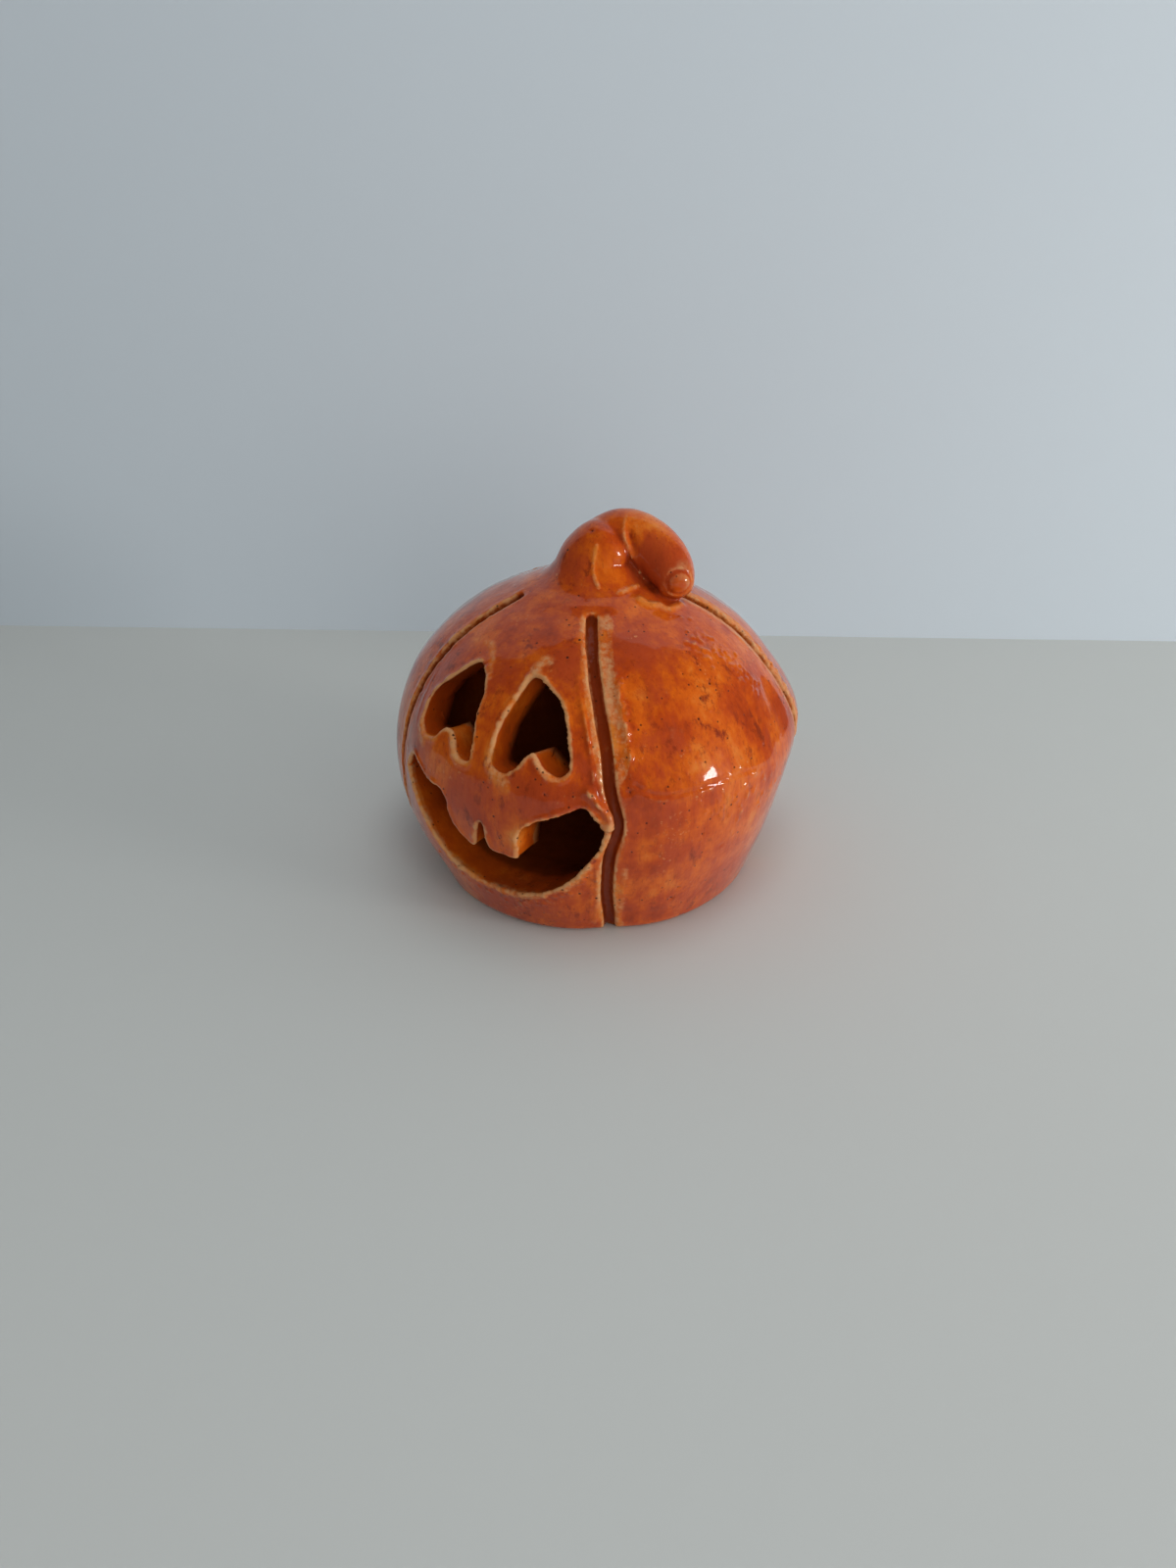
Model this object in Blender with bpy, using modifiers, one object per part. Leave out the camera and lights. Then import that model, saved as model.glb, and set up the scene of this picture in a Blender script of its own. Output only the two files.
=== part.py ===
"""Pottery pumpkin lantern: one hollow fired piece with a carved face, five grooves and a curled stem.

Metres, +Z up. The origin is the middle of the flat underside, and the face looks along -Y.
Angles are in degrees round the axis from the face, positive towards +X.
"""

import math

import bmesh
import bpy
from mathutils import Matrix, Vector

# the turned body
BELLY_RADIUS = 0.0420
BELLY_HEIGHT = 0.0280
DOME_RISE = 0.0342  # from the belly up to the crown, under the stem
FOOT_RADIUS = 0.0347
FOOT_ROUNDING = 0.0016
LOWER_DRAW = 1.6  # how late the lower wall draws in to the foot
FLARE_RADIUS = 0.0170  # where the stem's flare runs out into the dome
STEM_FLARE = ((0.0066, 0.0668), (0.0084, 0.0648), (0.0096, 0.0632), (0.0113, 0.0619), (0.0136, 0.0610))
DOME_RINGS = 14
LOWER_RINGS = 8
AROUND = 78

# the hollow, a round-bottomed bowl, so that the wall thickens towards the foot
WALL = 0.0072
FLOOR = 0.0070
BOWL_CORNER = 0.0160
HOLLOW_DOME_RINGS = 10
HOLLOW_CORNER_RINGS = 6
HOLLOW_AROUND = 48

# the grooves, the first beside the mouth, and the valleys they lie in
GROOVE_ANGLES = (36.3, 115.0, 185.0, 255.0, 321.5)
GROOVE_RADIUS = 0.00125
GROOVE_SINK = 0.00045  # how far the groove's centreline lies under the surface
GROOVE_TOP_RADIUS = 0.0150
GROOVE_OVERRUN = 0.003
GROOVE_WANDER = 1.2
VALLEY_DEPTH = 0.0011
VALLEY_WIDTH = 11.0

# uneven by hand: angle, height, spread in angle, spread in height, how far each bulge stands out
SWELLS = (
    (-50.0, 0.019, 24.0, 0.013, 0.0013),
    (-36.0, 0.014, 20.0, 0.0085, 0.0012),
    (120.0, 0.033, 20.0, 0.009, 0.0025),
)
OVAL = 0.0004
THREE_SIDED = 0.0002

# the panel patted flat above the belly, down to a crease that falls away from the face
FLAT_FROM = 42.0
FLAT_TO = 108.0
FLAT_DEPTH = 0.0012
FLAT_RISE = 0.0220
CREASE_HEIGHT = 0.0375
CREASE_FALL = 0.0070

# the face: outlines as angle and height on the wall, in degrees and millimetres
LEFT_EYE = (
    (-14.0, 52.2), (-20.5, 49.6), (-27.5, 45.0), (-27.5, 40.5), (-24.5, 38.2), (-19.0, 38.6),
    (-14.5, 41.2), (-11.0, 41.2), (-8.2, 38.0), (-4.6, 37.2), (-2.4, 38.6), (-4.6, 45.5), (-6.5, 49.6),
)
RIGHT_EYE = (
    (10.5, 52.6), (6.6, 49.0), (4.4, 44.8), (3.6, 39.6), (5.2, 37.6), (9.4, 37.6),
    (15.5, 41.7), (19.2, 38.8), (24.0, 38.2), (25.8, 40.5), (24.2, 46.5), (20.0, 50.4),
)
LOWER_LIP = (
    (-31.5, 28.6), (-27.5, 24.4), (-22.5, 19.8), (-16.0, 13.6), (-8.0, 10.6), (2.0, 9.6),
    (12.0, 10.0), (20.0, 12.2), (27.0, 16.6), (32.6, 22.2), (35.2, 27.2),
)
UPPER_LIP = (
    (33.2, 30.2), (30.0, 32.5), (26.0, 31.7), (20.0, 30.1), (15.2, 28.4), (12.6, 25.6),
    (11.6, 20.0), (7.4, 20.1), (3.2, 20.8), (2.4, 25.6), (1.2, 26.3), (-0.2, 24.4),
    (-1.4, 20.0), (-4.8, 20.6), (-7.8, 22.6), (-9.6, 25.0), (-10.2, 27.6), (-12.6, 29.7),
    (-18.5, 30.2), (-23.5, 31.7), (-28.0, 32.2),
)
EYE_TILT = 14.0  # the knife went in a little downwards
CUT_OUTSIDE = 0.056
EYE_CUT_INSIDE = 0.008
MOUTH_CUT_INSIDE = 0.018

# the stem: right, away and up as its own front sees them, then the radius; millimetres
STEM_CONE = (
    (-0.8, 0.0, 57.0, 10.2),
    (-0.8, -0.1, 60.0, 9.3),
    (-0.3, -0.2, 63.0, 8.4),
    (0.2, -0.3, 65.6, 7.5),
    (1.1, -0.4, 67.4, 6.7),
    (2.1, -0.3, 68.4, 6.2),
)
STEM_ROLL = (
    (1.5, 1.8, 68.0, 5.6),
    (4.6, 1.9, 69.7, 5.5),
    (7.9, 1.4, 69.6, 5.4),
    (10.9, 0.0, 68.4, 5.2),
    (13.2, -1.8, 66.7, 5.0),
    (14.6, -3.5, 65.1, 4.7),
    (15.4, -5.0, 63.8, 4.2),
    (15.8, -6.2, 62.8, 3.6),
)
# the web that closes the fold under the roll, set back so that the fold stays deep
STEM_WEB = (
    (3.5, 1.6, 66.0, 5.0),
    (7.0, 1.8, 63.6, 5.0),
    (10.2, 1.5, 61.2, 4.6),
    (12.6, 0.8, 59.4, 3.9),
)
END_BLUNTNESS = 0.7
STEM_TURN = 33.0  # the stem's own front, round from the face
STEM_SIDES = 20

WELD = 0.00001
MILLIMETRE = 0.001


def clear_scene():
    for obj in list(bpy.data.objects):
        bpy.data.objects.remove(obj)


def new_collection(name):
    made = bpy.data.collections.new(name)
    bpy.context.scene.collection.children.link(made)
    return made


# ---- the wall's shape ----


def smooth_step(low, high, value):
    """From 0 at low to 1 at high, level at both ends. Low may be the greater."""
    share = min(max((value - low) / (high - low), 0.0), 1.0)
    return share * share * (3.0 - 2.0 * share)


def turn_between(angle, other):
    """The turn from one angle to another, within half a circle either way."""
    return (angle - other + 180.0) % 360.0 - 180.0


def turned_radius(height):
    """The body's radius as first turned, at a height above the underside."""
    if height >= BELLY_HEIGHT:
        share = min((height - BELLY_HEIGHT) / DOME_RISE, 1.0)
        return BELLY_RADIUS * math.sqrt(1.0 - share * share)
    share = (BELLY_HEIGHT - height) / BELLY_HEIGHT
    return BELLY_RADIUS - (BELLY_RADIUS - FOOT_RADIUS) * share**LOWER_DRAW


def groove_angle(rest_angle, height):
    """Each groove wanders a little. The one beside the mouth swings out round the mouth's corner."""
    if rest_angle != GROOVE_ANGLES[0]:
        return rest_angle + GROOVE_WANDER * math.sin(height / 0.011 + rest_angle)
    round_mouth = 2.5 * math.exp(-(((height - 0.0285) / 0.0055) ** 2))
    towards_face = 7.0 * smooth_step(0.038, 0.066, height)
    at_foot = 1.6 * smooth_step(0.012, 0.0, height)
    return rest_angle + round_mouth - towards_face + at_foot


def valley_at(angle, height):
    """How far the wall dips beside the grooves, so that each panel swells between two of them."""
    dip = 0.0
    for rest_angle in GROOVE_ANGLES:
        off = turn_between(angle, groove_angle(rest_angle, height))
        dip += math.exp(-((off / VALLEY_WIDTH) ** 2))
    return VALLEY_DEPTH * dip * (1.0 - 0.5 * smooth_step(0.045, 0.060, height))


def swell_at(angle, height):
    out = 0.0
    for centre, middle, spread, rise, amount in SWELLS:
        across = turn_between(angle, centre) / spread
        up = (height - middle) / rise
        out += amount * math.exp(-across * across - up * up)
    return out


def flat_at(angle, height):
    """How far the patted panel lies in: at once above its crease, fading out towards the crown."""
    share = (angle - FLAT_FROM) / (FLAT_TO - FLAT_FROM)
    above = height - (CREASE_HEIGHT - CREASE_FALL * share)
    across = smooth_step(0.0, 0.12, share) * smooth_step(1.0, 0.88, share)
    up = smooth_step(-0.0005, 0.0030, above) * smooth_step(FLAT_RISE, 0.006, above)
    return FLAT_DEPTH * across * up


def hand_shaped(point):
    """Moves a point of the turned body out or in to the hand-built one."""
    radius = math.hypot(point.x, point.y)
    if radius < WELD:
        return point
    turn = math.atan2(point.x, -point.y)
    angle = math.degrees(turn)
    uneven = OVAL * math.sin(2.0 * turn + 0.6) + THREE_SIDED * math.sin(3.0 * turn)
    out = uneven + swell_at(angle, point.z) - valley_at(angle, point.z) - flat_at(angle, point.z)
    outward = Vector((point.x, point.y, 0.0)) / radius
    return point + outward * out * min(radius / BELLY_RADIUS, 1.0)


def on_wall(angle, height):
    turn = math.radians(angle)
    radius = turned_radius(height)
    return hand_shaped(Vector((radius * math.sin(turn), -radius * math.cos(turn), height)))


# ---- ways of making a solid ----


def made_mesh(source, collection):
    """Replaces a curve, or an object with modifiers, by its evaluated mesh with welded caps."""
    bpy.context.view_layer.update()
    evaluated = source.evaluated_get(bpy.context.evaluated_depsgraph_get())
    mesh = bpy.data.meshes.new_from_object(evaluated)
    work = bmesh.new()
    work.from_mesh(mesh)
    bmesh.ops.remove_doubles(work, verts=work.verts, dist=WELD)
    bmesh.ops.recalc_face_normals(work, faces=work.faces)
    work.to_mesh(mesh)
    work.free()
    name, place = source.name, source.matrix_world.copy()
    bpy.data.objects.remove(source)
    obj = bpy.data.objects.new(name, mesh)
    obj.matrix_world = place
    collection.objects.link(obj)
    return obj


def turned_solid(name, profile, steps, collection):
    """A closed turned mesh from a profile of (radius, height) points that runs down its outer side."""
    mesh = bpy.data.meshes.new(name)
    points = [(radius, 0.0, height) for radius, height in profile]
    mesh.from_pydata(points, [(i, i + 1) for i in range(len(points) - 1)], [])
    obj = bpy.data.objects.new(name, mesh)
    collection.objects.link(obj)
    screw = obj.modifiers.new("turn", "SCREW")
    screw.axis = "Z"
    screw.steps = screw.render_steps = steps
    screw.use_merge_vertices = True
    screw.merge_threshold = WELD
    return made_mesh(obj, collection)


def tube(name, points, radii, sides, collection):
    """A round bar along points, with a radius at each, as a closed mesh."""
    curve = bpy.data.curves.new(name, "CURVE")
    curve.dimensions = "3D"
    curve.bevel_depth = 1.0
    curve.bevel_resolution = sides // 2 - 2
    curve.use_fill_caps = True
    spline = curve.splines.new("POLY")
    spline.points.add(len(points) - 1)
    for knot, place, radius in zip(spline.points, points, radii):
        knot.co = (*place, 1.0)
        knot.radius = radius
    obj = bpy.data.objects.new(name, curve)
    collection.objects.link(obj)
    return made_mesh(obj, collection)


def knife_cutter(name, places, inside, tilt, collection):
    """An outline given on the wall, carried through it along the knife, which points down by the tilt."""
    leaned = Matrix.Rotation(math.radians(tilt), 4, "X")
    seen = [leaned @ on_wall(angle, height * MILLIMETRE) for angle, height in places]
    curve = bpy.data.curves.new(name, "CURVE")
    curve.dimensions = "2D"
    curve.fill_mode = "BOTH"
    curve.extrude = (CUT_OUTSIDE - inside) / 2
    spline = curve.splines.new("POLY")
    spline.points.add(len(seen) - 1)
    spline.use_cyclic_u = True
    for knot, point in zip(spline.points, seen):
        knot.co = (point.x, point.z, 0.0, 1.0)
    obj = bpy.data.objects.new(name, curve)
    upright = Matrix.Rotation(math.pi / 2, 4, "X")
    middle = Matrix.Translation((0.0, -(CUT_OUTSIDE + inside) / 2, 0.0))
    obj.matrix_world = leaned.inverted() @ middle @ upright
    collection.objects.link(obj)
    return made_mesh(obj, collection)


def boolean(target, tool, operation):
    step = target.modifiers.new(tool.name, "BOOLEAN")
    step.operation = operation
    step.object = tool
    step.solver = "EXACT"
    tool.hide_render = True
    tool.display_type = "WIRE"


# ---- the pieces ----


def dome_ring(radius, rise, turn):
    """Radius and height on a dome above the belly, from its crown at a quarter turn to the belly at none."""
    return (radius * math.cos(turn), BELLY_HEIGHT + rise * math.sin(turn))


def body(collection):
    """The outside, from the stem's foot flaring into the dome down to the flat underside."""
    profile = [(0.0, STEM_FLARE[0][1]), *STEM_FLARE]
    first_turn = math.acos(FLARE_RADIUS / BELLY_RADIUS)
    for ring in range(DOME_RINGS + 1):
        profile.append(dome_ring(BELLY_RADIUS, DOME_RISE, first_turn * (1.0 - ring / DOME_RINGS)))
    for ring in range(1, LOWER_RINGS + 1):
        height = BELLY_HEIGHT - (BELLY_HEIGHT - FOOT_ROUNDING) * ring / LOWER_RINGS
        profile.append((turned_radius(height), height))
    foot = turned_radius(FOOT_ROUNDING) - FOOT_ROUNDING
    for turn in (math.pi / 6, math.pi / 3, math.pi / 2):
        profile.append((foot + FOOT_ROUNDING * math.cos(turn), FOOT_ROUNDING * (1.0 - math.sin(turn))))
    profile += [(foot / 2, 0.0), (0.0, 0.0)]
    made = turned_solid("pumpkin_lantern", profile, AROUND, collection)
    for vertex in made.data.vertices:
        vertex.co = hand_shaped(vertex.co)
    return made


def hollow_cutter(collection):
    """The same shape drawn in by the wall, over a round-bottomed bowl."""
    profile = [(0.0, BELLY_HEIGHT + DOME_RISE - WALL)]
    for ring in range(1, HOLLOW_DOME_RINGS + 1):
        turn = math.pi / 2 * (1.0 - ring / HOLLOW_DOME_RINGS)
        profile.append(dome_ring(BELLY_RADIUS - WALL, DOME_RISE - WALL, turn))
    bowl_top = FLOOR + BOWL_CORNER
    inset = turned_radius(bowl_top) - WALL - BOWL_CORNER
    for ring in range(HOLLOW_CORNER_RINGS + 1):
        turn = math.pi / 2 * ring / HOLLOW_CORNER_RINGS
        profile.append((inset + BOWL_CORNER * math.cos(turn), bowl_top - BOWL_CORNER * math.sin(turn)))
    profile.append((0.0, FLOOR))
    return turned_solid("hollow_cutter", profile, HOLLOW_AROUND, collection)


def groove_cutter(number, rest_angle, collection):
    """A bar laid along the wall from beside the stem down past the foot."""
    top_turn = math.acos(GROOVE_TOP_RADIUS / BELLY_RADIUS)
    dome_steps, lower_steps = 12, 9
    heights = [
        dome_ring(BELLY_RADIUS, DOME_RISE, top_turn * (1.0 - step / dome_steps))[1]
        for step in range(dome_steps)
    ]
    heights += [BELLY_HEIGHT * (1.0 - step / lower_steps) for step in range(lower_steps + 1)]
    points = []
    for height in heights:
        here = on_wall(groove_angle(rest_angle, height), height)
        slope = 1.4 * max(height - BELLY_HEIGHT, 0.0)
        points.append(here - Vector((here.x, here.y, slope)).normalized() * GROOVE_SINK)
    points.append(points[-1] - Vector((0.0, 0.0, GROOVE_OVERRUN)))
    return tube(f"groove_cutter_{number}", points, [GROOVE_RADIUS] * len(points), 8, collection)


def eased_rows(rows, steps):
    """Rows of numbers between the given ones, on a smooth curve through them all."""
    ends = [rows[0], *rows, rows[-1]]
    eased = []
    for before, this, after, beyond in zip(ends, ends[1:], ends[2:], ends[3:]):
        for t in (step / steps for step in range(steps)):
            eased.append([
                b + 0.5 * t * (c - a + t * (2.0 * a - 5.0 * b + 4.0 * c - d + t * (3.0 * (b - c) + d - a)))
                for a, b, c, d in zip(before, this, after, beyond)
            ])
    return [*eased, rows[-1]]


def rounded_end(rows):
    """Rows that close the last one's radius with a blunt round end."""
    last, before = rows[-1], rows[-2]
    step = Vector(last[:3]) - Vector(before[:3])
    ahead = step.normalized()
    closing = []
    for turn in (math.pi / 6, math.pi / 3, math.pi * 0.46):
        place = Vector(last[:3]) + ahead * last[3] * END_BLUNTNESS * math.sin(turn)
        closing.append([*place, last[3] * math.cos(turn)])
    return [*rows, *closing]


def stem_piece(name, route, collection):
    """One roll of the stem's clay along its route."""
    turn = Matrix.Rotation(math.radians(STEM_TURN), 3, "Z")
    rows = rounded_end(eased_rows(route, 2))
    places = [turn @ Vector(row[:3]) * MILLIMETRE for row in rows]
    return tube(name, places, [row[3] * MILLIMETRE for row in rows], STEM_SIDES, collection)


def glaze(obj):
    material = bpy.data.materials.new("glazed_clay")
    material.use_nodes = True
    shader = material.node_tree.nodes["Principled BSDF"]
    shader.inputs["Base Color"].default_value = (0.46, 0.115, 0.022, 1.0)
    shader.inputs["Roughness"].default_value = 0.22
    obj.data.materials.append(material)


def build():
    clear_scene()
    parts = new_collection("pumpkin_lantern")
    cutters = new_collection("cutters")
    pumpkin = body(parts)
    for name, route in (("stem_cone", STEM_CONE), ("stem_web", STEM_WEB), ("stem_roll", STEM_ROLL)):
        boolean(pumpkin, stem_piece(name, route, cutters), "UNION")
    boolean(pumpkin, hollow_cutter(cutters), "DIFFERENCE")
    for number, rest_angle in enumerate(GROOVE_ANGLES, 1):
        boolean(pumpkin, groove_cutter(number, rest_angle, cutters), "DIFFERENCE")
    knife_cuts = (
        ("left_eye_cutter", LEFT_EYE, EYE_CUT_INSIDE, EYE_TILT),
        ("right_eye_cutter", RIGHT_EYE, EYE_CUT_INSIDE, EYE_TILT),
        ("mouth_cutter", LOWER_LIP + UPPER_LIP, MOUTH_CUT_INSIDE, 0.0),
    )
    for name, places, inside, tilt in knife_cuts:
        boolean(pumpkin, knife_cutter(name, places, inside, tilt, cutters), "DIFFERENCE")
    glaze(pumpkin)


build()
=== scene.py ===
import math

import bpy
import numpy as np
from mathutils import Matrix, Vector, bvhtree, kdtree, noise


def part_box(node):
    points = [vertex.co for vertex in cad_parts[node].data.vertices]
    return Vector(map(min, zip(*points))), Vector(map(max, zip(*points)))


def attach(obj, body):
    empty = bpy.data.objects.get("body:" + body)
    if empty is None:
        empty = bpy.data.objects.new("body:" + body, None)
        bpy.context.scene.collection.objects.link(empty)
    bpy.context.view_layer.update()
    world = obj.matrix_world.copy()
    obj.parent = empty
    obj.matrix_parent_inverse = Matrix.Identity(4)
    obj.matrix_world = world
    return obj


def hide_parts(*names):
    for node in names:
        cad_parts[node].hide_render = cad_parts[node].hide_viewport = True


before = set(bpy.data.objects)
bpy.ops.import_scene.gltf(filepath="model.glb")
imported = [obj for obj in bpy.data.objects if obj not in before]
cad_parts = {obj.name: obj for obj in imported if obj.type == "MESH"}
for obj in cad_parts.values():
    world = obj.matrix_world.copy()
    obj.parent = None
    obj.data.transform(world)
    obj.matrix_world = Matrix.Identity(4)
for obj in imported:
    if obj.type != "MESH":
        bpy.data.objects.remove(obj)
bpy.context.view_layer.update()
mm = 0.001


def deselectAll():
    if bpy.context.object and bpy.context.object.mode != "OBJECT":
        bpy.ops.object.mode_set(mode="OBJECT")
    bpy.ops.object.select_all(action="DESELECT")


def pick(obj):
    deselectAll()
    obj.select_set(True)
    bpy.context.view_layer.objects.active = obj


def getPoints(obj):
    flat = np.empty(len(obj.data.vertices) * 3)
    obj.data.vertices.foreach_get("co", flat)
    return flat.reshape(-1, 3)


def setPoints(obj, points):
    obj.data.vertices.foreach_set("co", points.astype(np.float32).ravel())
    obj.data.update()


def getNormals(obj):
    flat = np.empty(len(obj.data.vertices) * 3)
    obj.data.vertices.foreach_get("normal", flat)
    return flat.reshape(-1, 3)


def useModifier(obj, kind, **settings):
    pick(obj)
    bpy.ops.object.modifier_add(type=kind)
    modifier = obj.modifiers[-1]
    for setting, value in settings.items():
        setattr(modifier, setting, value)
    bpy.ops.object.modifier_apply(modifier=modifier.name)


def smoothStep(low, high, value):
    share = np.clip((value - low) / (high - low), 0.0, 1.0)
    return share * share * (3.0 - 2.0 * share)


def bump(value, centre, spread):
    return np.exp(-(((value - centre) / spread) ** 2))


def cloud(points, size, seed):
    # soft noise of that size, about -1 to 1, at each point
    shift = Vector((seed * 7.31, seed * 3.17, seed * 5.53))
    return np.array([noise.noise(Vector(p) / size + shift) for p in points])


# ---- the body ----
bodyShape = dict(
    bellyRadius=42.0 * mm, bellyHeight=28.0 * mm, domeRise=34.2 * mm,
    footRadius=34.7 * mm, footRounding=1.6 * mm, lowerDraw=1.6,
    flareRadius=17.0 * mm,
    stemFlare=((6.6, 66.8), (8.4, 64.8), (9.6, 63.2), (11.3, 61.9), (13.6, 61.0)),  # radius, height
    around=200, rings=150,
    wall=7.2 * mm, floor=7.0 * mm, bowlCorner=16.0 * mm,
    oval=0.4 * mm, threeSided=0.2 * mm,
    # angle, height, spreads, how far out
    swells=((-50, 19.0, 24, 13.0, 1.3), (-36, 14.0, 20, 8.5, 1.2), (120, 33.0, 20, 9.0, 2.5)),
)
grooveShape = dict(
    angles=(36.3, 115.0, 185.0, 255.0, 321.5),  # the first lies beside the mouth
    halfWidth=1.12 * mm, depth=1.55 * mm, sink=0.30 * mm,
    topRadius=15.0 * mm, wander=1.2,
    valleyDepth=1.1 * mm, valleyWidth=11.0,
)
pressedPanel = dict(  # the panel that was patted flat, and its crease
    start=42.0, end=108.0, depth=1.2 * mm, rise=22.0 * mm,
    creaseHeight=37.5 * mm, creaseFall=7.0 * mm, creaseDip=2.0 * mm, slope=9.0 * mm,
)


def turnedRadius(height):
    b = bodyShape
    up = np.clip((height - b["bellyHeight"]) / b["domeRise"], 0.0, 1.0)
    down = np.clip((b["bellyHeight"] - height) / b["bellyHeight"], 0.0, 1.0)
    above = b["bellyRadius"] * np.sqrt(1.0 - up * up)
    below = b["bellyRadius"] - (b["bellyRadius"] - b["footRadius"]) * down ** b["lowerDraw"]
    return np.where(height >= b["bellyHeight"], above, below)


def grooveAngle(restAngle, height):
    # each groove wanders a little, and the first swings out round the corner of the mouth
    if restAngle != grooveShape["angles"][0]:
        return restAngle + grooveShape["wander"] * np.sin(height / (11 * mm) + restAngle)
    roundMouth = 2.5 * bump(height, 28.5 * mm, 5.5 * mm)
    towardsFace = 7.0 * smoothStep(38 * mm, 66 * mm, height)
    atFoot = 1.6 * smoothStep(12 * mm, 0.0, height)
    return restAngle + roundMouth - towardsFace + atFoot


def turnBetween(angle, other):
    return (angle - other + 180.0) % 360.0 - 180.0


def wallOffset(angle, height):
    # how far the hand-built wall stands out from the turned one
    b, p = bodyShape, pressedPanel
    turn = np.radians(angle)
    out = b["oval"] * np.sin(2.0 * turn + 0.6) + b["threeSided"] * np.sin(3.0 * turn)
    for centre, middle, spread, rise, amount in b["swells"]:
        across = turnBetween(angle, centre) / spread
        up = (height - middle * mm) / (rise * mm)
        out = out + amount * mm * np.exp(-across * across - up * up)
    dip = 0.0
    for restAngle in grooveShape["angles"]:
        dip = dip + bump(turnBetween(angle, grooveAngle(restAngle, height)), 0.0, grooveShape["valleyWidth"])
    out = out - grooveShape["valleyDepth"] * dip * (1.0 - 0.5 * smoothStep(45 * mm, 60 * mm, height))
    share = (angle - p["start"]) / (p["end"] - p["start"])
    crease = p["creaseHeight"] - p["creaseFall"] * share - p["creaseDip"] * bump(angle, 53.0, 6.5)
    above = height - crease
    across = smoothStep(0.0, 0.12, share) * smoothStep(1.0, 0.88, share)
    up = 1.0 - (1.0 - np.clip(above / p["slope"], 0.0, 1.0)) ** 1.2
    up = up * smoothStep(p["rise"], 9 * mm, above)
    return out - p["depth"] * across * up


def anglesOf(points):
    return np.degrees(np.arctan2(points[:, 0], -points[:, 1]))


def handShaped(points):
    radius = np.maximum(np.hypot(points[:, 0], points[:, 1]), 0.01 * mm)
    out = wallOffset(anglesOf(points), points[:, 2])
    out = out * np.minimum(radius / bodyShape["bellyRadius"], 1.0)
    moved = points.copy()
    moved[:, :2] *= (1.0 + out / radius)[:, None]
    return moved


def onWall(angle, height):
    # angles in degrees and heights in millimetres, as lists
    angle, height = np.asarray(angle, float), np.asarray(height, float) * mm
    turn, radius = np.radians(angle), turnedRadius(height)
    return handShaped(np.stack([radius * np.sin(turn), -radius * np.cos(turn), height], axis=1))


def bodyOutline():
    # radius and height from the crown, under the stem, down to the middle of the underside
    b = bodyShape
    line = [(0.0, b["stemFlare"][0][1] * mm)] + [(r * mm, h * mm) for r, h in b["stemFlare"]]
    firstTurn = math.acos(b["flareRadius"] / b["bellyRadius"])
    for step in range(41):
        turn = firstTurn * (1.0 - step / 40)
        line.append((b["bellyRadius"] * math.cos(turn), b["bellyHeight"] + b["domeRise"] * math.sin(turn)))
    for step in range(1, 25):
        height = b["bellyHeight"] - (b["bellyHeight"] - b["footRounding"]) * step / 24
        line.append((float(turnedRadius(np.array(height))), height))
    foot = line[-1][0] - b["footRounding"]
    for step in range(1, 7):
        turn = math.pi / 12 * step
        line.append((foot + b["footRounding"] * math.cos(turn), b["footRounding"] * (1.0 - math.sin(turn))))
    return np.array(line + [(0.0, 0.0)])


def hollowOutline():
    b = bodyShape
    radius, rise = b["bellyRadius"] - b["wall"], b["domeRise"] - b["wall"]
    line = []
    for step in range(31):
        turn = math.pi / 2 * (1.0 - step / 30)
        line.append((radius * math.cos(turn), b["bellyHeight"] + rise * math.sin(turn)))
    bowlTop = b["floor"] + b["bowlCorner"]
    inset = float(turnedRadius(np.array(bowlTop))) - b["wall"] - b["bowlCorner"]
    for step in range(19):
        turn = math.pi / 2 * step / 18
        line.append((inset + b["bowlCorner"] * math.cos(turn), bowlTop - b["bowlCorner"] * math.sin(turn)))
    return np.array(line + [(0.0, b["floor"])])


def addTurned(name, outline, around, rings):
    # a ball whose rings are let out or drawn in to the outline
    deselectAll()
    bpy.ops.mesh.primitive_uv_sphere_add(segments=around, ring_count=rings, radius=bodyShape["bellyRadius"])
    made = bpy.context.object
    made.name = name
    points = getPoints(made)
    share = np.arccos(np.clip(points[:, 2] / bodyShape["bellyRadius"], -1.0, 1.0)) / math.pi
    lengths = np.concatenate([[0.0], np.cumsum(np.hypot(*np.diff(outline, axis=0).T))])
    radius = np.interp(share * lengths[-1], lengths, outline[:, 0])
    height = np.interp(share * lengths[-1], lengths, outline[:, 1])
    flat = np.maximum(np.hypot(points[:, 0], points[:, 1]), 1e-9)
    setPoints(made, np.stack([points[:, 0] / flat * radius, points[:, 1] / flat * radius, height], axis=1))
    return made


def addBody():
    body = addTurned("pumpkin", bodyOutline(), bodyShape["around"], bodyShape["rings"])
    setPoints(body, handShaped(getPoints(body)))
    return body


def addHollow():
    # pinched out by hand, so a little lumpy inside
    hollow = addTurned("hollow", hollowOutline(), 96, 64)
    points = getPoints(hollow)
    lump = 0.35 * mm * cloud(points, 9 * mm, 4) - 0.15 * mm
    outward = points - np.array([0.0, 0.0, bodyShape["bellyHeight"]])
    outward /= np.linalg.norm(outward, axis=1)[:, None]
    setPoints(hollow, points + outward * lump[:, None])
    return hollow


# ---- rolls and grooves: a ball drawn out along a path ----
def easedPath(rows, steps, closed=False):
    # more rows between the given ones, on a smooth curve through them all
    rows = np.asarray(rows, float)
    if closed:
        ends = np.concatenate([rows[-1:], rows, rows[:2]])
    else:
        ends = np.concatenate([rows[:1], rows, rows[-1:]])
    eased = []
    for a, b, c, d in zip(ends, ends[1:], ends[2:], ends[3:]):
        for t in (step / steps for step in range(steps)):
            eased.append(b + 0.5 * t * (c - a + t * (2 * a - 5 * b + 4 * c - d + t * (3 * (b - c) + d - a))))
    return np.array(eased if closed else eased + [rows[-1]])


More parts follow.
